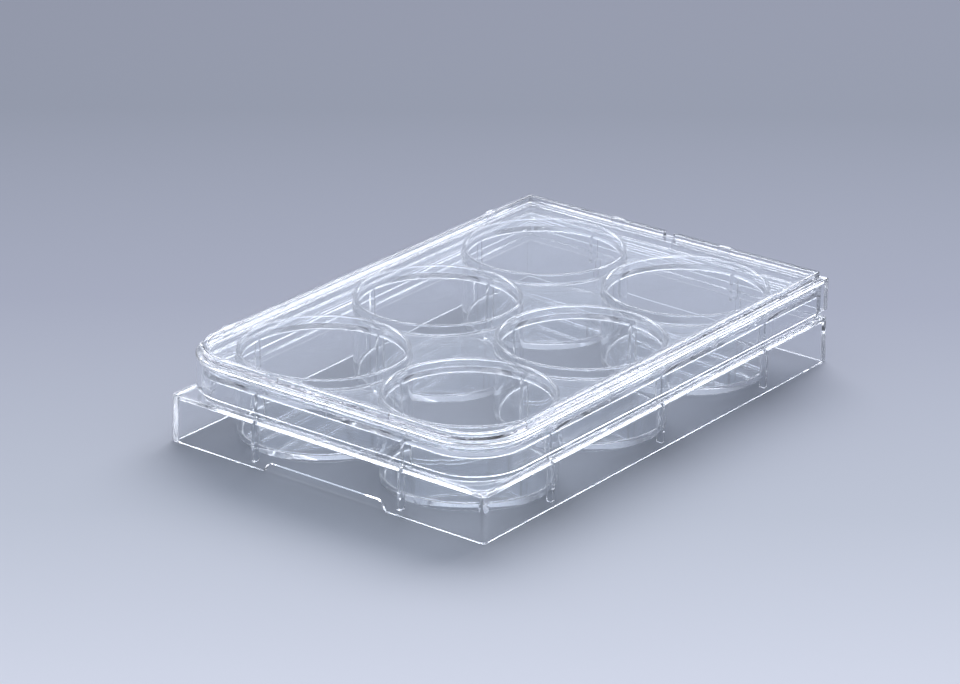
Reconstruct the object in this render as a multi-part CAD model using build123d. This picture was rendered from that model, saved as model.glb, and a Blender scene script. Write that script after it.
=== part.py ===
from build123d import *
import os

# Six-well plate and its lid, two clear injection mouldings, in millimetres.
# The origin is the middle of the footprint, on the bench. +X runs along the long side, towards
# the end whose lid and upper wall have square corners. +Z is up.
# The lid lies on the rims of the wells and can be lifted straight off.

# ---------------------------------------------------------------- plate: footprint and skirt
base_length = 127.76
base_width = 85.48
base_corner = 0.8
skirt_height = 11.1
skirt_wall = 1.2
skirt_draft = 0.2
ledge_thickness = 1.1
ledge_edge_round = 0.35

# ---------------------------------------------------------------- plate: grip notches, short ends
notch_height = 2.4
notch_width = 33.6
notch_slope = 1.6

# ---------------------------------------------------------------- plate: deck and upper wall
deck_top = 17.4
deck_thickness = 1.1
wall_inset = 1.7
wall_thickness = 1.1
wall_lip = 1.4
wall_end_corner = 11.6
wall_corner = 0.5
wall_edge_round = 0.25

# ---------------------------------------------------------------- plate: wells
well_columns = 3
well_rows = 2
well_pitch = 39.7
well_mouth_radius = 18.0
well_draft = 0.4
well_wall = 1.0
well_lip = 2.3
well_underside = 1.3
well_floor_thickness = 1.2
well_floor_round = 0.6
well_rim_round = 0.25

# ---------------------------------------------------------------- plate: stiffening webs
web_thickness = 0.9
skirt_web_underside = 1.1

# ---------------------------------------------------------------- lid: shell
lid_side_gap = 0.45
lid_wall = 1.1
lid_top_thickness = 1.0
lid_shoulder_drop = 0.25
lid_ledge_gap = 1.6
lid_corner = 0.5
lid_edge_round = 0.4

# ---------------------------------------------------------------- lid: stacking rim and its lugs
stacking_gap = 0.45
rim_width = 1.2
rim_height = 1.3
rim_edge_round = 0.3
rim_break = 2.9
lug_width = 3.2
lug_projection = 0.4
lug_from_end = 17.1
lug_from_side = 27.7

# ---------------------------------------------------------------- lid: centring ribs
centring_play = 0.1
centring_rib_width = 0.6
centring_rib_length = 2.8

# ---------------------------------------------------------------- sizes that follow from these
ledge_underside = skirt_height - ledge_thickness
deck_underside = deck_top - deck_thickness
wall_top = deck_top + wall_lip
well_top = deck_top + well_lip
well_floor = well_underside + well_floor_thickness
wall_length = base_length - 2 * wall_inset
wall_width = base_width - 2 * wall_inset
lid_skirt_bottom = skirt_height + lid_ledge_gap
lid_underside = well_top
lid_top = lid_underside + lid_top_thickness
lid_shoulder = lid_top - lid_shoulder_drop
rim_top = lid_top + rim_height
rim_length = base_length - 2 * (skirt_wall + stacking_gap)
rim_width_overall = base_width - 2 * (skirt_wall + stacking_gap)
rim_end_corner = wall_end_corner + (rim_length - wall_length) / 2
through = 1.0


def plan(length, width, end_corner, corner):
    """Outline with one radius at the two -X corners and another at the two +X corners."""
    face = Rectangle(length, width)
    face = fillet(face.vertices().group_by(Axis.X)[0], end_corner)
    return fillet(face.vertices().group_by(Axis.X)[-1], corner)


def wall_plan(grow):
    """Outline of the plate's upper wall, grown outwards or, below zero, inwards."""
    return plan(wall_length + 2 * grow, wall_width + 2 * grow, wall_end_corner + grow, wall_corner)


def prism(face, bottom, top):
    """Straight block of an outline between two heights."""
    return extrude(Pos(0, 0, bottom) * face, amount=top - bottom)


def round_top(solid, radius):
    """The same solid with every edge of its top face rounded."""
    return fillet(solid.edges().group_by(Axis.Z)[-1], radius)


def box_between(low, high):
    """Box between two opposite corners."""
    size = [b - a for a, b in zip(low, high)]
    middle = [(a + b) / 2 for a, b in zip(low, high)]
    return Pos(*middle) * Box(*size)


def leaning_block(inset, top):
    """Skirt block from the bench to a height, with its sides leaning in by the draft."""
    length = base_length - 2 * inset
    width = base_width - 2 * inset
    lean = skirt_draft * top / skirt_height
    lower = plan(length, width, base_corner, base_corner)
    upper = Pos(0, 0, top) * plan(length - 2 * lean, width - 2 * lean, base_corner, base_corner)
    return loft([lower, upper], ruled=True)


def well_radius(height):
    """Inside radius of a well at a height, wider towards the mouth for the mould's draft."""
    return well_mouth_radius - well_draft * (well_top - height) / (well_top - well_floor)


def taper(bottom, top, extra_radius):
    """Round block that follows the draft of the wells between two heights."""
    lower = well_radius(bottom) + extra_radius
    upper = well_radius(top) + extra_radius
    base_on_bench = (Align.CENTER, Align.CENTER, Align.MIN)
    return Pos(0, 0, bottom) * Cone(lower, upper, top - bottom, align=base_on_bench)


def column_positions():
    """X of each column of wells."""
    return [(i - (well_columns - 1) / 2) * well_pitch for i in range(well_columns)]


def row_positions():
    """Y of each row of wells."""
    return [(i - (well_rows - 1) / 2) * well_pitch for i in range(well_rows)]


def at_wells(solid):
    """Copies of a solid, one on the axis of each well."""
    return [Pos(x, y, 0) * solid for x in column_positions() for y in row_positions()]


def skirt_and_wall():
    """Hollow skirt with its ledge, and the upper wall that stands on the ledge."""
    skirt = round_top(leaning_block(0, skirt_height), ledge_edge_round)
    skirt -= leaning_block(skirt_wall, ledge_underside)
    wall = prism(wall_plan(0), ledge_underside, wall_top)
    shell = skirt + wall
    shell -= prism(wall_plan(-wall_thickness), -through, wall_top + through)
    return round_top(shell, wall_edge_round)


def web(along_x, position, near, far, bottom, top):
    """One upright web on the axis of a row or a column of wells, between two distances along it."""
    half = web_thickness / 2
    if along_x:
        return box_between((near, position - half, bottom), (far, position + half, top))
    return box_between((position - half, near, bottom), (position + half, far, top))


def webs_of_line(along_x, position, last_well, half_size):
    """Webs of one row or column: between its wells, out to the upper wall, and in the skirt."""
    ledge_middle = (ledge_underside + skirt_height) / 2
    deck_middle = (deck_underside + deck_top) / 2
    wall_middle = half_size - wall_inset - wall_thickness / 2
    wall_inside = half_size - wall_inset - wall_thickness
    skirt_middle = half_size - skirt_draft - skirt_wall / 3
    return [
        web(along_x, position, -last_well, last_well, well_underside, deck_middle),
        web(along_x, position, -wall_middle, wall_middle, ledge_underside, deck_middle),
        web(along_x, position, wall_inside, skirt_middle, skirt_web_underside, ledge_middle),
        web(along_x, position, -skirt_middle, -wall_inside, skirt_web_underside, ledge_middle),
    ]


def webs():
    """Stiffening webs of every row and column of wells."""
    columns, rows = column_positions(), row_positions()
    found = []
    for y in rows:
        found += webs_of_line(True, y, columns[-1], base_length / 2)
    for x in columns:
        found += webs_of_line(False, x, rows[-1], base_width / 2)
    return found


def grip_notches():
    """Wedge-sided cuts in the bottom edge of the skirt, one at each short end."""
    half_foot = notch_width / 2
    half_head = half_foot - notch_slope
    outline = Polygon(
        (-half_foot, 0), (half_foot, 0), (half_head, notch_height), (-half_head, notch_height), align=None
    )
    depth = skirt_wall + 2 * skirt_draft
    cut = extrude(Plane.YZ * outline, amount=depth, both=True)
    return [Pos(side * base_length / 2, 0, 0) * cut for side in (-1, 1)]


def make_plate():
    """Six-well plate, one moulding: skirt, ledge, upper wall, deck, webs and wells."""
    plate = skirt_and_wall()
    plate += prism(wall_plan(-wall_thickness / 2), deck_underside, deck_top)
    plate += webs()
    plate += at_wells(taper(well_underside, well_top, well_wall))
    cavity = taper(well_floor, well_top + through, 0)
    cavity = fillet(cavity.edges().group_by(Axis.Z)[0], well_floor_round)
    plate -= at_wells(cavity)
    plate -= grip_notches()
    return round_top(plate, well_rim_round)


def rim_plan():
    """Outline of the stacking rim with its eight lugs."""
    outline = plan(rim_length, rim_width_overall, rim_end_corner, lid_corner)
    reach_x = rim_length / 2 + lug_projection
    reach_y = rim_width_overall / 2 + lug_projection
    lug_x = base_length / 2 - lug_from_end
    lug_y = base_width / 2 - lug_from_side
    for side in (-1, 1):
        outline += Pos(side * lug_x, 0) * Rectangle(lug_width, 2 * reach_y)
        outline += Pos(0, side * lug_y) * Rectangle(2 * reach_x, lug_width)
    inner_length = rim_length - 2 * rim_width
    inner_width = rim_width_overall - 2 * rim_width
    return outline - plan(inner_length, inner_width, rim_end_corner - rim_width, lid_corner)


def stacking_rim():
    """Raised rim that locates the skirt of a plate stacked on top, with one break at the +X end."""
    rim = round_top(prism(rim_plan(), lid_underside, rim_top), rim_edge_round)
    half_break = rim_break / 2
    inner = rim_length / 2 - 2 * rim_width
    outer = base_length / 2
    return rim - box_between((inner, -half_break, lid_top), (outer, half_break, rim_top + through))


def centring_ribs():
    """Thin upright ribs inside the lid, between the wells, that centre it on the upper wall."""
    bottom = lid_underside - centring_rib_length
    top = lid_underside + lid_top_thickness / 2
    half = centring_rib_width / 2
    inner_x = wall_length / 2 + centring_play
    inner_y = wall_width / 2 + centring_play
    outer_x = wall_length / 2 + lid_side_gap + lid_wall / 2
    outer_y = wall_width / 2 + lid_side_gap + lid_wall / 2
    found = []
    for side in (-1, 1):
        near, far = sorted((side * inner_x, side * outer_x))
        found.append(box_between((near, -half, bottom), (far, half, top)))
        near, far = sorted((side * inner_y, side * outer_y))
        for first, second in zip(column_positions(), column_positions()[1:]):
            x = (first + second) / 2
            found.append(box_between((x - half, near, bottom), (x + half, far, top)))
    return found


def make_lid():
    """Lid, one moulding: side wall, top, stacking rim and centring ribs."""
    grow = lid_side_gap + lid_wall
    outline = plan(wall_length + 2 * grow, wall_width + 2 * grow, wall_end_corner + grow, lid_corner)
    lid = round_top(prism(outline, lid_skirt_bottom, lid_shoulder), lid_edge_round)
    middle = plan(rim_length, rim_width_overall, rim_end_corner, lid_corner)
    lid += prism(middle, lid_underside, lid_top)
    lid -= prism(wall_plan(lid_side_gap), lid_skirt_bottom - through, lid_underside)
    lid += stacking_rim()
    lid += centring_ribs()
    return lid


os.makedirs("parts", exist_ok=True)
export_step(make_plate(), "parts/plate.step")
export_step(make_lid(), "parts/lid.step")
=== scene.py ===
"""Visual model of a clear laboratory well plate with its lid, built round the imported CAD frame.

Sizes are in millimetres in the classes below and become metres as each mesh is written. The
frame's origin is the middle of the footprint on the bench, +X runs along the long side and +Z is
up. Both mouldings are closed meshes, because light bends at their faces.
"""

import logging
import math
from dataclasses import dataclass, field
from enum import Enum

import bmesh
import bpy
from mathutils import Matrix, Vector


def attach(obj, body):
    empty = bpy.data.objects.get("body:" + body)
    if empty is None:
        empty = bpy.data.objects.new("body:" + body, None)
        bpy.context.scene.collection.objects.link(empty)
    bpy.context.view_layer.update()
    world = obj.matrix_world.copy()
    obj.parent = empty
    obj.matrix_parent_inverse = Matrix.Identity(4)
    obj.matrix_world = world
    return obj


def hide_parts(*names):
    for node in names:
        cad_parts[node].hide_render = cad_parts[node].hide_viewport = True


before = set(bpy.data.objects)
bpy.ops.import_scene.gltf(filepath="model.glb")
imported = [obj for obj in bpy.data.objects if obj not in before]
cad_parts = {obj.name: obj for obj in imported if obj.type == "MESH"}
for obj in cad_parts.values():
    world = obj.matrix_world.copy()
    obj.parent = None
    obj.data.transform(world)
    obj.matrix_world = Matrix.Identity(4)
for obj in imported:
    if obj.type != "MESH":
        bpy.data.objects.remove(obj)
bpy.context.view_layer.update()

logging.basicConfig(level=logging.INFO, format="%(message)s")
log = logging.getLogger("well_plate")

MM = 0.001
BODY = "root"
# Edges that bend more than this stay crisp.
SHARP_ANGLE = math.radians(32)
# How much the large faces rule the shading of the small rounds beside them, of 100.
FLAT_FACE_WEIGHT = 90
# How far the tip of a fillet is sunk into the wall it starts from, so that their faces don't coincide.
BITE = 0.01
# How far a cutter runs past what it cuts.
PAST = 1.0
# Points of a mesh nearer than this are one point.
SAME_POINT = 1e-5
# Sockets of a Mix node that mixes two colours.
MIX_FIRST, MIX_SECOND, MIX_RESULT = 6, 7, 2

Point = tuple[float, float]
Corner = tuple[float, float, float]
Ring = list[Corner]


class Join(Enum):
    """How a second closed mesh changes the first one."""

    UNION = "UNION"
    CUT = "DIFFERENCE"


class Way(Enum):
    """Which way an arc of a section turns."""

    CLOCKWISE = -1
    ANTICLOCKWISE = 1


# ------------------------------------------------------------------ nodes and colours


def srgb(colour: str) -> tuple[float, float, float, float]:
    """Turns an sRGB hex colour to linear light.

    Args:
        colour: Six hex digits with a leading #.

    Returns:
        Linear red, green and blue, and an alpha of 1.
    """
    parts = [int(colour[i : i + 2], 16) / 255 for i in (1, 3, 5)]
    linear = [c / 12.92 if c <= 0.04045 else ((c + 0.055) / 1.055) ** 2.4 for c in parts]
    return (*linear, 1.0)


def add_node(
    tree: bpy.types.NodeTree,
    kind: str,
    settings: dict | None = None,
    values: dict | None = None,
    links: dict | None = None,
) -> bpy.types.Node:
    """Adds one node with its settings, input values and incoming links.

    Args:
        tree: Node tree that gets the node.
        kind: The node's type name.
        settings: Attributes of the node itself.
        values: Input name or index to its constant.
        links: Input name or index to the socket that feeds it.

    Returns:
        The new node.
    """
    node = tree.nodes.new(kind)
    for name, value in (settings or {}).items():
        setattr(node, name, value)
    for key, value in (values or {}).items():
        node.inputs[key].default_value = value
    for key, socket in (links or {}).items():
        tree.links.new(socket, node.inputs[key])
    return node


def fill_ramp(ramp: bpy.types.ColorRamp, stops: tuple[tuple[float, str], ...]) -> None:
    """Sets the stops of a new colour ramp.

    Args:
        ramp: Ramp that still has its first two stops.
        stops: Position and sRGB hex colour of each stop, in order.
    """
    for position, _ in stops[1:-1]:
        ramp.elements.new(position)
    for element, (position, colour) in zip(ramp.elements, stops):
        element.position, element.color = position, srgb(colour)


# ------------------------------------------------------------------ sections and outlines


def arc(centre: Point, radius: float, start: float, way: Way, steps: int = 6) -> list[Point]:
    """Quarter turn of a section, its two ends included.

    Args:
        centre: Centre of the quarter circle.
        radius: Its radius.
        start: Angle of the first point, in degrees.
        way: Which way it turns.
        steps: Number of chords.

    Returns:
        Points along the arc.
    """
    angles = [math.radians(start + way.value * 90 * i / steps) for i in range(steps + 1)]
    return [(centre[0] + radius * math.cos(a), centre[1] + radius * math.sin(a)) for a in angles]


@dataclass(frozen=True)
class Plan:
    """Outline seen from above, with one radius at its -X corners and another at its +X ones."""

    length: float
    width: float
    end_corner: float
    corner: float
    keeps_corners: bool = False
    corner_steps: int = 28

    def ring(self, inset: float, height: float) -> Ring:
        """The outline moved inwards and set at a height.

        Args:
            inset: How far each side moves in.
            height: Z of the ring.

        Returns:
            Points anticlockwise, as many for every inset.
        """
        half_x, half_y = self.length / 2 - inset, self.width / 2 - inset
        end = self.end_corner if self.keeps_corners else self.end_corner - inset
        corners = ((1, 1, 0, self.corner), (-1, 1, 90, end), (-1, -1, 180, end), (1, -1, 270, self.corner))
        points = []
        for side_x, side_y, start, radius in corners:
            centre = (side_x * (half_x - radius), side_y * (half_y - radius))
            points += arc(centre, radius, start, Way.ANTICLOCKWISE, self.corner_steps)
        return [(x, y, height) for x, y in points]

    def rings(self, section: list[Point]) -> list[Ring]:
        """One ring for each (inset, height) point of a section."""
        return [self.ring(inset, height) for inset, height in section]


# ------------------------------------------------------------------ meshes


def write_mesh(name: str, shape: bmesh.types.BMesh) -> bpy.types.Mesh:
    """Ends a bmesh in millimetres as a mesh in metres, closed and facing outwards.

    Args:
        name: Name of the mesh.
        shape: The bmesh, which is freed.

    Returns:
        The mesh.
    """
    bmesh.ops.remove_doubles(shape, verts=shape.verts, dist=SAME_POINT)
    bmesh.ops.recalc_face_normals(shape, faces=shape.faces)
    bmesh.ops.scale(shape, vec=(MM, MM, MM), verts=shape.verts)
    mesh = bpy.data.meshes.new(name)
    shape.to_mesh(mesh)
    shape.free()
    return mesh


def loft(name: str, rings: list[Ring], joined: bool) -> bpy.types.Mesh:
    """Closed skin over rings of equal length.

    Args:
        name: Name of the mesh.
        rings: Rings in order along the section.
        joined: True if the last ring meets the first, False if both ends get a flat cap.

    Returns:
        The mesh, in metres.
    """
    shape = bmesh.new()
    rows = [[shape.verts.new(p) for p in ring] for ring in rings]
    pairs = list(zip(rows, rows[1:])) + ([(rows[-1], rows[0])] if joined else [])
    count = len(rows[0])
    for low, high in pairs:
        for i in range(count):
            j = (i + 1) % count
            shape.faces.new((low[i], low[j], high[j], high[i]))
    if not joined:
        shape.faces.new(rows[0])
        shape.faces.new(rows[-1])
    return write_mesh(name, shape)


def lathe(name: str, section: list[Point], steps: int) -> bpy.types.Mesh:
    """Turned solid about the Z axis.

    Args:
        name: Name of the mesh.
        section: Points of radius and height, the first and the last on the axis.
        steps: Number of chords round the axis.

    Returns:
        The mesh, in metres.
    """
    shape = bmesh.new()
    angles = [2 * math.pi * i / steps for i in range(steps)]
    rows = []
    for radius, height in section:
        around = [(radius * math.cos(a), radius * math.sin(a), height) for a in angles]
        rows.append([shape.verts.new(p) for p in (around if radius else [(0, 0, height)])])
    for low, high in zip(rows, rows[1:]):
        for i in range(steps):
            j = (i + 1) % steps
            if len(low) == 1:
                shape.faces.new((low[0], high[j], high[i]))
            elif len(high) == 1:
                shape.faces.new((low[i], low[j], high[0]))
            else:
                shape.faces.new((low[i], low[j], high[j], high[i]))
    return write_mesh(name, shape)


def block(name: str, low: Corner, high: Corner, edge: float = 0.0) -> bpy.types.Mesh:
    """Box between two corners.

    Args:
        name: Name of the mesh.
        low: Its lowest corner.
        high: Its highest corner.
        edge: Radius of every edge.

    Returns:
        The mesh, in metres.
    """
    shape = bmesh.new()
    size = [b - a for a, b in zip(low, high)]
    middle = Vector([(a + b) / 2 for a, b in zip(low, high)])
    place = Matrix.Translation(middle) @ Matrix.Diagonal((*size, 1))
    bmesh.ops.create_cube(shape, size=1, matrix=place)
    if edge:
        bmesh.ops.bevel(
            shape,
            geom=shape.edges[:],
            offset=edge,
            segments=3,
            profile=0.5,
            affect="EDGES",
            clamp_overlap=True,
        )
    return write_mesh(name, shape)


def bar_along_x(name: str, outline: list[Point], low: float, high: float) -> bpy.types.Mesh:
    """Straight solid of an outline drawn in YZ and pushed along X.

    Args:
        name: Name of the mesh.
        outline: Points of Y and Z, in order.
        low: X of its first end.
        high: X of its other end.

    Returns:
        The mesh, in metres.
    """
    shape = bmesh.new()
    lower = [shape.verts.new((low, y, z)) for y, z in outline]
    upper = [shape.verts.new((high, y, z)) for y, z in outline]
    for i in range(len(outline)):
        j = (i + 1) % len(outline)
        shape.faces.new((lower[i], lower[j], upper[j], upper[i]))
    shape.faces.new(lower)
    shape.faces.new(upper)
    return write_mesh(name, shape)


def evaluated_copy(owner: bpy.types.Object) -> bpy.types.Mesh:
    """Plain mesh of an object as its modifiers leave it.

    Args:
        owner: The object, which is removed with its own mesh.

    Returns:
        The new mesh.
    """
    graph = bpy.context.evaluated_depsgraph_get()
    result = bpy.data.meshes.new_from_object(owner.evaluated_get(graph), depsgraph=graph)
    old = owner.data
    bpy.data.objects.remove(owner)
    bpy.data.meshes.remove(old)
    return result


def new_object(name: str, mesh: bpy.types.Mesh) -> bpy.types.Object:
    """Adds an object at the origin of the scene.

    Args:
        name: Its name.
        mesh: Its mesh.

    Returns:
        The object.
    """
    made = bpy.data.objects.new(name, mesh)
    bpy.context.scene.collection.objects.link(made)
    return made


def combine(base: bpy.types.Mesh, steps: list[tuple[Join, bpy.types.Mesh]]) -> bpy.types.Mesh:
    """Joins closed meshes to a first one, or cuts them from it, in order.

    Args:
        base: The mesh to start from.
        steps: What each further mesh does, and the mesh.

    Returns:
        One closed mesh.
    """
    owner = new_object(base.name, base)
    tools = []
    for join, mesh in steps:
        tool = new_object(mesh.name, mesh)
        tools.append(tool)
        change = owner.modifiers.new(join.name, "BOOLEAN")
        change.operation, change.solver, change.object = join.value, "MANIFOLD", tool
    result = evaluated_copy(owner)
    for tool in tools:
        mesh = tool.data
        bpy.data.objects.remove(tool)
        bpy.data.meshes.remove(mesh)
    return result


# ------------------------------------------------------------------ copies on a grid


@dataclass(frozen=True)
class Grid:
    """Places in rows and columns about the middle of the plate."""

    columns: int
    rows: int
    pitch_x: float
    pitch_y: float


class GridOfCopies:
    """Geometry Nodes tree that sets one mesh on every place of a grid."""

    INPUTS = (
        ("Columns", "NodeSocketInt"),
        ("Rows", "NodeSocketInt"),
        ("Pitch X", "NodeSocketFloat"),
        ("Pitch Y", "NodeSocketFloat"),
        ("Material", "NodeSocketMaterial"),
    )

    def __init__(self) -> None:
        """Builds the tree, with its sizes as named inputs."""
        tree = bpy.data.node_groups.new("copies_on_a_grid", "GeometryNodeTree")
        tree.interface.new_socket("Geometry", in_out="INPUT", socket_type="NodeSocketGeometry")
        self.identifiers = {}
        for name, kind in self.INPUTS:
            socket = tree.interface.new_socket(name, in_out="INPUT", socket_type=kind)
            self.identifiers[name] = socket.identifier
        tree.interface.new_socket("Geometry", in_out="OUTPUT", socket_type="NodeSocketGeometry")
        given = add_node(tree, "NodeGroupInput").outputs
        spans = []
        for count, pitch in (("Columns", "Pitch X"), ("Rows", "Pitch Y")):
            gaps = add_node(tree, "ShaderNodeMath", {"operation": "SUBTRACT"}, {1: 1.0}, {0: given[count]})
            span = add_node(
                tree,
                "ShaderNodeMath",
                {"operation": "MULTIPLY"},
                links={0: gaps.outputs[0], 1: given[pitch]},
            )
            spans.append(span)
        places = add_node(
            tree,
            "GeometryNodeMeshGrid",
            links={
                "Size X": spans[0].outputs[0],
                "Size Y": spans[1].outputs[0],
                "Vertices X": given["Columns"],
                "Vertices Y": given["Rows"],
            },
        )
        copies = add_node(
            tree,
            "GeometryNodeInstanceOnPoints",
            links={"Points": places.outputs["Mesh"], "Instance": given["Geometry"]},
        )
        real = add_node(tree, "GeometryNodeRealizeInstances", links={"Geometry": copies.outputs["Instances"]})
        dressed = add_node(
            tree,
            "GeometryNodeSetMaterial",
            links={"Geometry": real.outputs["Geometry"], "Material": given["Material"]},
        )
        add_node(tree, "NodeGroupOutput", links={0: dressed.outputs["Geometry"]})
        self.tree = tree

    def spread(self, unit: bpy.types.Mesh, grid: Grid, material: bpy.types.Material) -> bpy.types.Mesh:
        """Sets copies of a mesh on a grid.

        Args:
            unit: Mesh of one copy, as it lies about the grid's middle.
            grid: Where the copies go.
            material: Finish of the copies.

        Returns:
            One mesh that holds every copy.
        """
        owner = new_object(unit.name, unit)
        change = owner.modifiers.new("grid", "NODES")
        change.node_group = self.tree
        sizes = {
            "Columns": grid.columns,
            "Rows": grid.rows,
            "Pitch X": grid.pitch_x * MM,
            "Pitch Y": grid.pitch_y * MM,
            "Material": material,
        }
        for name, value in sizes.items():
            change[self.identifiers[name]] = value
        return evaluated_copy(owner)


@dataclass(frozen=True)
class RunOfBars:
    """Equal upright bars on a grid, such as webs, lugs or ribs, each about its own place."""

    name: str
    half_x: float
    half_y: float
    low: float
    high: float
    edge: float
    grid: Grid

    def mesh(self, copies: GridOfCopies, finish: bpy.types.Material) -> bpy.types.Mesh:
        """Makes every bar of the run.

        Args:
            copies: Tree that sets the copies.
            finish: Their material.

        Returns:
            One mesh that holds them all.
        """
        near, far = (-self.half_x, -self.half_y, self.low), (self.half_x, self.half_y, self.high)
        return copies.spread(block(self.name, near, far, self.edge), self.grid, finish)


# ------------------------------------------------------------------ finishes


@dataclass(frozen=True)
class ClearPolystyrene:
    """General-purpose polystyrene, injection moulded in a polished mould: water clear and glossy.

    It bends light more than acrylic does, so its edges and rims flash. The flow of the melt leaves
    patches of faint haze about a centimetre across, and uneven cooling leaves its faces wavy, a
    micrometre deep over some 24 mm. The haze has no grain, so it is drawn as roughness alone, and
    both are wide enough to show at their real size.
    """

    name: str
    colour: str
    ior: float = 1.59
    # Roughness, from the clearest patch to the haziest. Haze starts where the pattern, which runs
    # from 0 to 1, is past haze_from, and is full at haze_full.
    smoothest: float = 0.0
    roughest: float = 0.03
    haze_size: float = 9.0
    haze_from: float = 0.5
    haze_full: float = 0.8
    wave_length: float = 24.0
    wave_depth: float = 0.001
    # What a wall lets through to the bench and the shadow: nearly all of the light that meets it
    # square on, and none of what grazes it, so that upright walls throw the darker lines.
    passed_square_on: str = "#f8f9fa"
    passed_at_a_graze: str = "#000000"
    slant_power: float = 2.5

    def material(self) -> bpy.types.Material:
        """Builds the node material.

        Returns:
            The material.
        """
        made = bpy.data.materials.new(self.name)
        made.use_nodes = True
        tree = made.node_tree
        tree.nodes.clear()
        place = add_node(tree, "ShaderNodeTexCoord").outputs["Object"]
        haze = add_node(
            tree,
            "ShaderNodeTexNoise",
            values={"Scale": 1 / (self.haze_size * MM), "Detail": 3.0},
            links={"Vector": place},
        )
        roughness = add_node(
            tree,
            "ShaderNodeMapRange",
            values={
                "From Min": self.haze_from,
                "From Max": self.haze_full,
                "To Min": self.smoothest,
                "To Max": self.roughest,
            },
            links={"Value": haze.outputs["Fac"]},
        )
        wave = add_node(
            tree,
            "ShaderNodeTexNoise",
            values={"Scale": 1 / (self.wave_length * MM), "Detail": 1.0},
            links={"Vector": place},
        )
        bump = add_node(
            tree,
            "ShaderNodeBump",
            values={"Strength": 1.0, "Distance": self.wave_depth * MM},
            links={"Height": wave.outputs["Fac"]},
        )
        plastic = add_node(
            tree,
            "ShaderNodeBsdfPrincipled",
            values={"Base Color": srgb(self.colour), "IOR": self.ior, "Transmission Weight": 1.0},
            links={"Roughness": roughness.outputs[0], "Normal": bump.outputs[0]},
        )
        facing = add_node(tree, "ShaderNodeLayerWeight", values={"Blend": 0.5}).outputs["Facing"]
        slant = add_node(tree, "ShaderNodeMath", {"operation": "POWER"}, {1: self.slant_power}, {0: facing})
        passed = add_node(
            tree,
            "ShaderNodeMix",
            {"data_type": "RGBA"},
            {MIX_FIRST: srgb(self.passed_square_on), MIX_SECOND: srgb(self.passed_at_a_graze)},
            {0: slant.outputs[0]},
        )
        rays = add_node(tree, "ShaderNodeLightPath").outputs
        for ray in ("Is Diffuse Ray", "Is Shadow Ray"):
            through = add_node(tree, "ShaderNodeBsdfTransparent", links={"Color": passed.outputs[MIX_RESULT]})
            plastic = add_node(
                tree,
                "ShaderNodeMixShader",
                links={0: rays[ray], 1: plastic.outputs[0], 2: through.outputs[0]},
            )
        add_node(tree, "ShaderNodeOutputMaterial", links={"Surface": plastic.outputs[0]})
        return made


@dataclass(frozen=True)
class BenchWithPaintedFalloff:
    """Matt board under the plate, with no gloss. Its colour is paler towards the front and darker towards the
    back, a painted fall-off of the light across the bench.

    The bearing is the way, in degrees from +X, that the stops' distances in millimetres run.
    """

    name: str = "matt_board_with_painted_falloff"
    roughness: float = 1.0
    bearing: float = 37.45
    # Painted shade: these stops darken the bench towards the back to stand in for the light falling off
    # across it.
    stops: tuple[tuple[float, str], ...] = (
        (-160.0, "#eeeff4"),
        (-60.0, "#cbced4"),
        (60.0, "#abadb7"),
        (200.0, "#8f929a"),
        (420.0, "#80818a"),
    )

    def material(self) -> bpy.types.Material:
        """Builds the node material, whose colour, a painted fall-off of the light, changes along one way on
        the floor.

        Returns:
            The material.
        """
        made = bpy.data.materials.new(self.name)
        made.use_nodes = True
        tree = made.node_tree
        tree.nodes.clear()
        place = add_node(tree, "ShaderNodeTexCoord").outputs["Object"]
        angle = math.radians(self.bearing)
        along = add_node(
            tree,
            "ShaderNodeVectorMath",
            {"operation": "DOT_PRODUCT"},
            {1: (math.cos(angle), math.sin(angle), 0.0)},
            {0: place},
        )
        near, far = self.stops[0][0] * MM, self.stops[-1][0] * MM
        share = add_node(
            tree,
            "ShaderNodeMapRange",
            values={"From Min": near, "From Max": far},
            links={"Value": along.outputs["Value"]},
        )
        ramp = add_node(tree, "ShaderNodeValToRGB", links={"Fac": share.outputs[0]})
        shares = [((distance * MM - near) / (far - near), colour) for distance, colour in self.stops]
        fill_ramp(ramp.color_ramp, tuple(shares))
        paint = add_node(
            tree,
            "ShaderNodeBsdfPrincipled",
            values={"Roughness": self.roughness, "Specular IOR Level": 0.0},
            links={"Base Color": ramp.outputs["Color"]},
        )
        add_node(tree, "ShaderNodeOutputMaterial", links={"Surface": paint.outputs[0]})
        return made


PLATE_FINISH = ClearPolystyrene("clear_moulded_polystyrene_plate", "#fbfcfd")
LID_FINISH = ClearPolystyrene("clear_moulded_polystyrene_lid", "#fcfdfe")
BENCH_WITH_PAINTED_FALLOFF = BenchWithPaintedFalloff()


# ------------------------------------------------------------------ the plate


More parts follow.
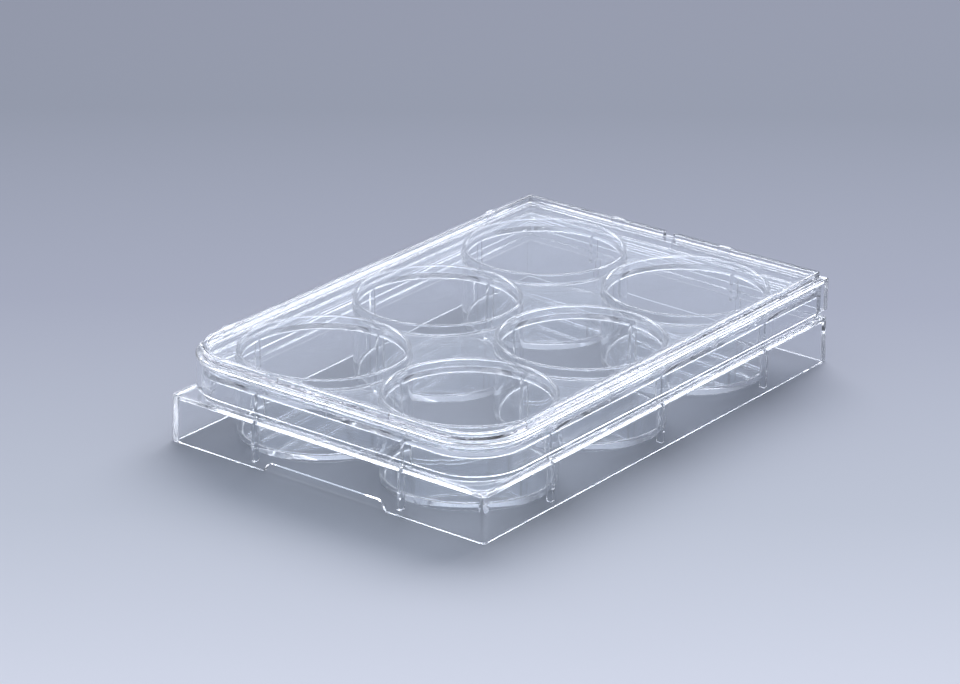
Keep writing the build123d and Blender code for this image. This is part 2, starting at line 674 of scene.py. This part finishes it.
@dataclass
class Wells:
    """Open round wells, slightly wider at the mouth, with rounded rims."""

    columns: int = 3
    rows: int = 2
    pitch: float = 39.7
    mouth_radius: float = 18.0
    draft: float = 0.4
    wall: float = 1.0
    underside: float = 1.3
    floor_thickness: float = 1.2
    top: float = 19.65
    rim_round: float = 0.42
    foot_round: float = 0.12
    floor_round: float = 0.6
    collar: float = 0.35
    steps: int = 180

    @property
    def floor(self) -> float:
        """Height of a well's floor."""
        return self.underside + self.floor_thickness

    @property
    def grid(self) -> Grid:
        """Places of the wells' axes."""
        return Grid(self.columns, self.rows, self.pitch, self.pitch)

    def radius(self, height: float) -> float:
        """Inside radius at a height."""
        return self.mouth_radius - self.draft * (self.top - height) / (self.top - self.floor)

    def cup(self, deck_low: float, deck_high: float) -> bpy.types.Mesh:
        """One well: a turned cup with a flat floor.

        Args:
            deck_low: Height of the deck's lower face.
            deck_high: Height of its upper face.

        Returns:
            The mesh, with a fillet where the wall leaves each face of the deck.
        """
        outer_foot = self.radius(self.underside) + self.wall
        outer_top = self.radius(self.top) + self.wall
        inner_foot = self.radius(self.floor)
        inner_top = self.radius(self.top)
        rim, foot, bowl, flare = self.rim_round, self.foot_round, self.floor_round, self.collar
        under = self.radius(deck_low) + self.wall + flare
        over = self.radius(deck_high) + self.wall + flare
        section = [(0, self.underside)]
        section += arc((outer_foot - foot, self.underside + foot), foot, 270, Way.ANTICLOCKWISE)
        section += arc((under, deck_low + BITE - flare), flare, 180, Way.CLOCKWISE)
        section += arc((over, deck_high - BITE + flare), flare, 270, Way.CLOCKWISE)
        section += arc((outer_top - rim, self.top - rim), rim, 0, Way.ANTICLOCKWISE)
        section += arc((inner_top + rim, self.top - rim), rim, 90, Way.ANTICLOCKWISE)
        section += arc((inner_foot - bowl, self.floor + bowl), bowl, 0, Way.CLOCKWISE)
        section += [(0, self.floor)]
        return lathe("well", section, self.steps)

    def socket(self, low: float, high: float) -> bpy.types.Mesh:
        """Cutter that opens the deck as far as the middle of a well's wall, between two heights."""
        radius = self.radius(high) + self.wall / 2
        return lathe("well_socket", [(0, low), (radius, low), (radius, high), (0, high)], self.steps)


@dataclass
class Webs:
    """Thin upright webs that tie the wells to each other and to the walls."""

    thickness: float = 0.9
    skirt_underside: float = 1.1
    edge: float = 0.08


@dataclass
class Skirt:
    """Hollow skirt that the plate stands on, with the ledge at its top."""

    length: float = 127.76
    width: float = 85.48
    corner: float = 0.8
    height: float = 11.1
    wall: float = 1.2
    draft: float = 0.2
    ledge_thickness: float = 1.1
    ledge_round: float = 0.35
    foot_round: float = 0.4
    inner_fillet: float = 0.3
    notch_height: float = 2.4
    notch_width: float = 33.6
    notch_slope: float = 1.6
    notch_round: float = 0.5
    notch_flare: float = 0.2

    @property
    def ledge_underside(self) -> float:
        """Height of the ledge's lower face."""
        return self.height - self.ledge_thickness

    @property
    def plan(self) -> Plan:
        """Outline at the bench."""
        return Plan(self.length, self.width, self.corner, self.corner, keeps_corners=True)

    def lean(self, height: float) -> float:
        """How far the side has moved in at a height."""
        return self.draft * height / self.height


@dataclass
class UpperWall:
    """Wall that stands on the ledge and closes round the deck."""

    inset: float = 1.7
    thickness: float = 1.1
    top: float = 18.8
    end_corner: float = 11.6
    corner: float = 0.5
    edge_round: float = 0.25
    foot_fillet: float = 0.2
    deck_fillet: float = 0.4
    deck_top: float = 17.4
    deck_thickness: float = 1.1

    @property
    def deck_underside(self) -> float:
        """Height of the deck's lower face."""
        return self.deck_top - self.deck_thickness

    def plan(self, skirt: Skirt) -> Plan:
        """Outline of the wall's outer face."""
        return Plan(skirt.length - 2 * self.inset, skirt.width - 2 * self.inset, self.end_corner, self.corner)


@dataclass
class WellPlate:
    """The lower moulding: skirt, ledge, upper wall, deck, webs and wells, in one piece."""

    skirt: Skirt = field(default_factory=Skirt)
    wall: UpperWall = field(default_factory=UpperWall)
    wells: Wells = field(default_factory=Wells)
    webs: Webs = field(default_factory=Webs)

    def shell(self) -> bpy.types.Mesh:
        """Skirt, ledge and upper wall as one closed skin.

        Returns:
            The mesh, in metres.
        """
        skirt, wall = self.skirt, self.wall
        outer, inner = skirt.plan, wall.plan(skirt)
        foot, edge, lip = skirt.foot_round, skirt.ledge_round, wall.edge_round
        root, fillet = wall.foot_fillet, skirt.inner_fillet
        lean, back = skirt.lean(skirt.height), skirt.wall + skirt.lean(skirt.ledge_underside)
        inside = wall.thickness - lip
        rings = outer.rings(arc((foot, foot), foot, 270, Way.CLOCKWISE))
        rings += outer.rings(arc((lean + edge, skirt.height - edge), edge, 180, Way.CLOCKWISE))
        rings += inner.rings(arc((-root, skirt.height + root), root, 270, Way.ANTICLOCKWISE))
        rings += inner.rings(arc((lip, wall.top - lip), lip, 180, Way.CLOCKWISE))
        rings += inner.rings(arc((inside, wall.top - lip), lip, 90, Way.CLOCKWISE))
        rings += inner.rings(arc((inside, skirt.ledge_underside + lip), lip, 0, Way.CLOCKWISE))
        rings += outer.rings(
            arc((back + fillet, skirt.ledge_underside - fillet), fillet, 90, Way.ANTICLOCKWISE)
        )
        rings += outer.rings(arc((skirt.wall - foot, foot), foot, 0, Way.CLOCKWISE))
        return loft("plate_shell", rings, joined=True)

    def deck(self) -> bpy.types.Mesh:
        """Deck between the wells, let into the middle of the upper wall.

        Returns:
            The mesh, in metres.
        """
        wall = self.wall
        outline = wall.plan(self.skirt)
        root, face, flare = wall.thickness / 2, wall.thickness - BITE, wall.deck_fillet
        section = arc((face + flare, wall.deck_underside - flare), flare, 90, Way.ANTICLOCKWISE)
        section += [(root, wall.deck_underside - flare), (root, wall.deck_top + flare)]
        section += arc((face + flare, wall.deck_top + flare), flare, 180, Way.ANTICLOCKWISE)
        return loft("deck", outline.rings(section), joined=False)

    def web_runs(self) -> list[RunOfBars]:
        """Every web: between the wells, out to the upper wall, and inside the skirt.

        Returns:
            One run for each set of equal webs.
        """
        wells, wall, skirt = self.wells, self.wall, self.skirt
        half, edge = self.webs.thickness / 2, self.webs.edge
        grip = wells.mouth_radius + wells.wall / 4
        deck_middle = (wall.deck_underside + wall.deck_top) / 2
        ledge_middle = (skirt.ledge_underside + skirt.height) / 2
        between = wells.pitch / 2 - grip
        heights = (wells.underside, deck_middle)
        along = Grid(wells.columns - 1, wells.rows, wells.pitch, wells.pitch)
        across = Grid(wells.columns, wells.rows - 1, wells.pitch, wells.pitch)
        runs = [
            RunOfBars("webs_between_columns", between, half, *heights, edge, along),
            RunOfBars("webs_between_rows", half, between, *heights, edge, across),
        ]
        for along_x, size, last in (
            (True, skirt.length, (wells.columns - 1) / 2 * wells.pitch),
            (False, skirt.width, (wells.rows - 1) / 2 * wells.pitch),
        ):
            wall_inside = size / 2 - wall.inset - wall.thickness
            spans = (
                (last + grip, wall_inside + wall.thickness / 2, skirt.ledge_underside, deck_middle),
                (wall_inside, size / 2 - skirt.wall / 2, self.webs.skirt_underside, ledge_middle),
            )
            for near, far, low, high in spans:
                middle, reach = (near + far) / 2, (far - near) / 2
                if along_x:
                    grid = Grid(2, wells.rows, 2 * middle, wells.pitch)
                    runs.append(RunOfBars("webs_at_ends", reach, half, low, high, edge, grid))
                else:
                    grid = Grid(wells.columns, 2, wells.pitch, 2 * middle)
                    runs.append(RunOfBars("webs_at_sides", half, reach, low, high, edge, grid))
        return runs

    def notch(self) -> bpy.types.Mesh:
        """Wedge-sided cutter for the grip notch of one short end.

        Returns:
            The mesh, about the middle of the plate.
        """
        skirt = self.skirt
        foot = skirt.notch_width / 2
        head = foot - skirt.notch_slope
        lean = Vector((-skirt.notch_slope, skirt.notch_height)).normalized() * skirt.notch_round
        right = [
            (foot + skirt.notch_flare, -PAST),
            (foot, 0.0),
            (head - lean.x, skirt.notch_height - lean.y),
            (head - skirt.notch_round, skirt.notch_height),
        ]
        left = [(-y, z) for y, z in reversed(right)]
        return bar_along_x("grip_notch", right + left, -skirt.wall, skirt.wall)

    def build(self, copies: GridOfCopies, finish: bpy.types.Material) -> bpy.types.Object:
        """Builds the moulding as one closed piece and dresses it.

        Args:
            copies: Tree that sets what repeats.
            finish: Material of the plate.

        Returns:
            The finished object.
        """
        wall, wells = self.wall, self.wells
        socket = wells.socket(wall.deck_underside - PAST, wall.deck_top + PAST)
        sockets = copies.spread(socket, wells.grid, finish)
        deck = combine(self.deck(), [(Join.CUT, sockets)])
        notches = copies.spread(self.notch(), Grid(2, 1, self.skirt.length, 0), finish)
        steps = [(Join.UNION, deck)]
        steps += [(Join.UNION, run.mesh(copies, finish)) for run in self.web_runs()]
        cups = copies.spread(wells.cup(wall.deck_underside, wall.deck_top), wells.grid, finish)
        steps += [(Join.UNION, cups), (Join.CUT, notches)]
        return finished_piece("plate", combine(self.shell(), steps), finish)


# ------------------------------------------------------------------ the lid


@dataclass
class Lid:
    """The upper moulding: side wall, top, stacking rim with lugs, and centring ribs."""

    length: float = 127.46
    width: float = 85.18
    end_corner: float = 13.15
    corner: float = 0.5
    wall: float = 1.1
    bottom: float = 12.7
    underside: float = 19.7
    shoulder: float = 20.45
    top: float = 20.7
    edge_round: float = 0.4
    foot_round: float = 0.35
    inner_corner: float = 0.5
    inner_fillet: float = 0.5
    rim_inset: float = 1.5
    rim_width: float = 1.2
    rim_top: float = 22.0
    rim_corner: float = 11.65
    rim_round: float = 0.3
    rim_fillet: float = 0.15
    rim_break: float = 2.9
    # The roots are how far lugs and ribs are let into what carries them.
    lug_width: float = 3.2
    lug_projection: float = 0.4
    lug_x: float = 46.78
    lug_y: float = 15.04
    lug_round: float = 0.15
    lug_root: float = 0.2
    rib_width: float = 0.6
    rib_length: float = 2.8
    rib_reach: float = 0.35
    rib_round: float = 0.08
    rib_root_in_top: float = 0.4
    rib_root_in_wall: float = 0.5
    # Chords of each small round, and of the outer edge, which shows the most.
    steps: int = 9
    edge_steps: int = 12

    @property
    def plan(self) -> Plan:
        """Outline of the side wall."""
        return Plan(self.length, self.width, self.end_corner, self.corner)

    @property
    def inner_plan(self) -> Plan:
        """Outline of the space inside the side wall.

        Returns:
            The outline.
        """
        return Plan(
            self.length - 2 * self.wall,
            self.width - 2 * self.wall,
            self.end_corner - self.wall,
            self.inner_corner,
        )

    @property
    def rim_plan(self) -> Plan:
        """Outline of the stacking rim.

        Returns:
            The outline.
        """
        return Plan(
            self.length - 2 * self.rim_inset,
            self.width - 2 * self.rim_inset,
            self.rim_corner,
            self.corner,
        )

    def shell(self) -> bpy.types.Mesh:
        """Side wall, top and stacking rim as one closed skin.

        Returns:
            The mesh, in metres.
        """
        outer, inner, rim = self.plan, self.inner_plan, self.rim_plan
        small, foot, crown = self.rim_fillet, self.foot_round, self.rim_round
        edge, fillet, width, steps = self.edge_round, self.inner_fillet, self.rim_width, self.steps
        rings = rim.rings(arc((width + small, self.top + small), small, 270, Way.CLOCKWISE, steps))
        rings += rim.rings(arc((width - crown, self.rim_top - crown), crown, 0, Way.ANTICLOCKWISE, steps))
        rings += rim.rings(arc((crown, self.rim_top - crown), crown, 90, Way.ANTICLOCKWISE, steps))
        rings += rim.rings(arc((-small, self.shoulder + small), small, 0, Way.CLOCKWISE, steps))
        rings += outer.rings(arc((edge, self.shoulder - edge), edge, 90, Way.ANTICLOCKWISE, self.edge_steps))
        rings += outer.rings(arc((foot, self.bottom + foot), foot, 180, Way.ANTICLOCKWISE, steps))
        rings += inner.rings(arc((-foot, self.bottom + foot), foot, 270, Way.ANTICLOCKWISE, steps))
        rings += inner.rings(arc((fillet, self.underside - fillet), fillet, 180, Way.CLOCKWISE, steps))
        return loft("lid_shell", rings, joined=False)

    def lugs(self) -> list[RunOfBars]:
        """The eight lugs on the outside of the rim.

        Returns:
            The four on the long sides, then the four on the short ones.
        """
        half, low = self.lug_width / 2, self.shoulder - self.lug_root
        root = self.rim_width / 2
        middle, reach = (self.lug_projection - root) / 2, (self.lug_projection + root) / 2
        away_x = self.length / 2 - self.rim_inset + middle
        away_y = self.width / 2 - self.rim_inset + middle
        long_sides = Grid(2, 2, 2 * self.lug_x, 2 * away_y)
        short_sides = Grid(2, 2, 2 * away_x, 2 * self.lug_y)
        return [
            RunOfBars("lugs_long", half, reach, low, self.rim_top, self.lug_round, long_sides),
            RunOfBars("lugs_short", reach, half, low, self.rim_top, self.lug_round, short_sides),
        ]

    def ribs(self, pitch: float) -> list[RunOfBars]:
        """The six centring ribs inside the side wall.

        Args:
            pitch: Distance between two columns of wells.

        Returns:
            The four on the long sides, then the two on the short ones.
        """
        half = self.rib_width / 2
        low, high = self.underside - self.rib_length, self.underside + self.rib_root_in_top
        reach = (self.rib_reach + self.rib_root_in_wall) / 2
        away_x = self.length / 2 - self.wall - self.rib_reach + reach
        away_y = self.width / 2 - self.wall - self.rib_reach + reach
        long_sides, short_sides = Grid(2, 2, pitch, 2 * away_y), Grid(2, 1, 2 * away_x, 0)
        return [
            RunOfBars("ribs_long", half, reach, low, high, self.rib_round, long_sides),
            RunOfBars("ribs_short", reach, half, low, high, self.rib_round, short_sides),
        ]

    def rim_gap(self) -> bpy.types.Mesh:
        """Cutter for the break in the stacking rim, at the middle of the +X end.

        Returns:
            The mesh, in metres.
        """
        outer = self.length / 2 - self.rim_inset + PAST
        inner = outer - self.rim_width - 2 * PAST
        half = self.rim_break / 2
        return block("rim_break", (inner, -half, self.top), (outer, half, self.rim_top + PAST))

    def build(self, copies: GridOfCopies, finish: bpy.types.Material, pitch: float) -> bpy.types.Object:
        """Builds the moulding as one closed piece and dresses it.

        Args:
            copies: Tree that sets what repeats.
            finish: Material of the lid.
            pitch: Distance between two columns of wells.

        Returns:
            The finished object.
        """
        steps = [(Join.UNION, run.mesh(copies, finish)) for run in self.lugs() + self.ribs(pitch)]
        steps.append((Join.CUT, self.rim_gap()))
        return finished_piece("lid", combine(self.shell(), steps), finish)


def finished_piece(node: str, mesh: bpy.types.Mesh, finish: bpy.types.Material) -> bpy.types.Object:
    """Shades a moulding, dresses it and puts it in place of its CAD node.

    Args:
        node: Name of the CAD node that the piece stands for.
        mesh: Closed mesh in metres.
        finish: Its material.

    Returns:
        The finished object.
    """
    made = new_object(f"{node}_moulding", mesh)
    mesh.materials.clear()
    mesh.materials.append(finish)
    for face in mesh.polygons:
        face.use_smooth = True
        face.material_index = 0
    mesh.set_sharp_from_angle(angle=SHARP_ANGLE)
    weigh = made.modifiers.new("weighted_normals", "WEIGHTED_NORMAL")
    weigh.keep_sharp = True
    weigh.weight = FLAT_FACE_WEIGHT
    smooth = evaluated_copy(made)
    smooth.name = f"{node}_moulding"
    made = new_object(f"{node}_moulding", smooth)
    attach(made, BODY)
    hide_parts(node)
    triangles = sum(len(p.vertices) - 2 for p in smooth.polygons)
    log.info("%s: %d faces, %d triangles", made.name, len(smooth.polygons), triangles)
    return made


# ------------------------------------------------------------------ studio


def direction(azimuth: float, elevation: float) -> Vector:
    """Unit vector that points a given way from the plate.

    Args:
        azimuth: Degrees round from -Y, towards +X.
        elevation: Degrees above the bench.

    Returns:
        The vector.
    """
    turn, rise = math.radians(azimuth), math.radians(elevation)
    return Vector((math.sin(turn) * math.cos(rise), -math.cos(turn) * math.cos(rise), math.sin(rise)))


@dataclass
class Studio:
    """Bench, soft light, room and camera, with distances in millimetres and angles in degrees.

    A stop of the room or the backdrop is a height, from 0 at the horizon to 1 straight up, and the
    colour of the light from there. That colour is multiplied by a strength, which goes from
    strength_left to strength_right for someone who stands at the camera. The backdrop is the part
    of the room behind the plate, and its bright bands are what the clear edges pick up.
    """

    target: tuple[float, float, float] = (3.706, 10.690, 10.0)
    azimuth: float = -52.552
    elevation: float = 22.025
    roll: float = 0.5972
    distance: float = 870.525
    lens: float = 146.2
    sensor: float = 36.0
    clip: tuple[float, float] = (10.0, 50000.0)
    floor_drop: float = 0.05
    floor_size: float = 6000.0
    floor_thickness: float = 20.0
    softbox_elevation: float = 42.0
    softbox_turn: float = -12.0
    softbox_distance: float = 1200.0
    softbox_width: float = 1250.0
    softbox_depth: float = 560.0
    softbox_radiance: float = 7.8
    softbox_colour: str = "#f2f5ff"
    strength_left: float = 1.5
    strength_right: float = 2.3
    # Cosines, to the way the camera looks, at which the backdrop starts and is full.
    backdrop_edge: float = 0.62
    backdrop_full: float = 0.92
    # Light in the rims meets dozens of faces; fewer bounces than this leave black lines there.
    bounces: int = 64
    backdrop: tuple[tuple[float, str], ...] = (
        (0.0, "#1f2125"),
        (0.18, "#33363b"),
        (0.24, "#f4f7ff"),
        (0.29, "#f4f7ff"),
        (0.325, "#acb3c2"),
        (0.375, "#9da3b1"),
        (0.395, "#9da3b1"),
        (0.41, "#bfc7d7"),
        (0.47, "#bfc7d7"),
        (0.52, "#969ca9"),
        (0.85, "#818691"),
        (1.0, "#53565e"),
    )
    room: tuple[tuple[float, str], ...] = (
        (0.0, "#3c3f44"),
        (0.2, "#3c3f44"),
        (0.45, "#54585f"),
        (0.64, "#828792"),
        (0.85, "#7a7f89"),
        (1.0, "#53565e"),
    )

    def back(self) -> Vector:
        """Unit vector from the target to the camera."""
        return direction(self.azimuth, self.elevation)

    def camera(self) -> None:
        """Adds the camera."""
        back = self.back()
        right = Vector((0, 0, 1)).cross(back).normalized()
        up = back.cross(right)
        roll = math.radians(self.roll)
        right, up = (
            right * math.cos(roll) + up * math.sin(roll),
            up * math.cos(roll) - right * math.sin(roll),
        )
        data = bpy.data.cameras.new("camera")
        data.lens, data.sensor_width = self.lens, self.sensor
        data.clip_start, data.clip_end = (distance * MM for distance in self.clip)
        made = bpy.data.objects.new("camera", data)
        turn = Matrix((right, up, back)).transposed().to_4x4()
        place = (Vector(self.target) + back * self.distance) * MM
        made.matrix_world = Matrix.Translation(place) @ turn
        bpy.context.scene.collection.objects.link(made)
        bpy.context.scene.camera = made

    def bench(self) -> None:
        """Adds the floor."""
        half, high = self.floor_size / 2, -self.floor_drop
        low = high - self.floor_thickness
        floor = new_object("bench", block("bench", (-half, -half, low), (half, half, high)))
        floor.data.materials.append(BENCH_WITH_PAINTED_FALLOFF.material())

    def softbox(self) -> None:
        """Adds the large lamp above and behind the plate."""
        way = direction(self.azimuth + 180 + self.softbox_turn, self.softbox_elevation)
        lamp = bpy.data.lights.new("softbox", "AREA")
        lamp.shape = "RECTANGLE"
        lamp.size, lamp.size_y = self.softbox_width * MM, self.softbox_depth * MM
        lamp.color = srgb(self.softbox_colour)[:3]
        lamp.energy = self.softbox_radiance * math.pi * lamp.size * lamp.size_y
        made = bpy.data.objects.new("softbox", lamp)
        made.location = way * self.softbox_distance * MM
        made.rotation_euler = way.to_track_quat("Z", "Y").to_euler()
        bpy.context.scene.collection.objects.link(made)

    def room_light(self) -> None:
        """Adds the room: dark near the horizon and paler above, with bright bands behind the plate."""
        world = bpy.data.worlds.new("room")
        bpy.context.scene.world = world
        world.use_nodes = True
        tree = world.node_tree
        tree.nodes.clear()
        way = add_node(tree, "ShaderNodeTexCoord").outputs["Generated"]
        ahead = -self.back()
        ahead.z = 0
        rightwards = ahead.cross(Vector((0, 0, 1)))
        depth, across = (
            add_node(
                tree,
                "ShaderNodeVectorMath",
                {"operation": "DOT_PRODUCT"},
                {1: axis.normalized()},
                {0: way},
            ).outputs["Value"]
            for axis in (ahead, rightwards)
        )
        share = add_node(
            tree,
            "ShaderNodeMapRange",
            {"interpolation_type": "SMOOTHSTEP"},
            values={"From Min": self.backdrop_edge, "From Max": self.backdrop_full},
            links={"Value": depth},
        )
        strength = add_node(
            tree,
            "ShaderNodeMapRange",
            values={
                "From Min": -1.0,
                "From Max": 1.0,
                "To Min": self.strength_left,
                "To Max": self.strength_right,
            },
            links={"Value": across},
        )
        height = add_node(tree, "ShaderNodeSeparateXYZ", links={0: way})
        colours = []
        for stops in (self.room, self.backdrop):
            ramp = add_node(tree, "ShaderNodeValToRGB", links={"Fac": height.outputs["Z"]})
            fill_ramp(ramp.color_ramp, stops)
            colours.append(ramp.outputs["Color"])
        blend = add_node(
            tree,
            "ShaderNodeMix",
            {"data_type": "RGBA"},
            links={0: share.outputs[0], MIX_FIRST: colours[0], MIX_SECOND: colours[1]},
        )
        light = add_node(
            tree,
            "ShaderNodeBackground",
            links={"Color": blend.outputs[MIX_RESULT], "Strength": strength.outputs[0]},
        )
        add_node(tree, "ShaderNodeOutputWorld", links={"Surface": light.outputs[0]})

    def build(self) -> None:
        """Sets up the whole studio and how far light is followed through the clear walls."""
        self.camera()
        self.bench()
        self.softbox()
        self.room_light()
        scene = bpy.context.scene
        scene.view_settings.view_transform = "Standard"
        scene.cycles.max_bounces = self.bounces
        scene.cycles.transmission_bounces = self.bounces
        scene.cycles.glossy_bounces = self.bounces
        scene.cycles.transparent_max_bounces = self.bounces
        log.info("studio: bench, softbox, room and camera")


def main() -> None:
    """Builds the studio, the plate and the lid."""
    copies = GridOfCopies()
    Studio().build()
    plate = WellPlate()
    plate.build(copies, PLATE_FINISH.material())
    Lid().build(copies, LID_FINISH.material(), plate.wells.pitch)


if __name__ == "__main__":
    main()
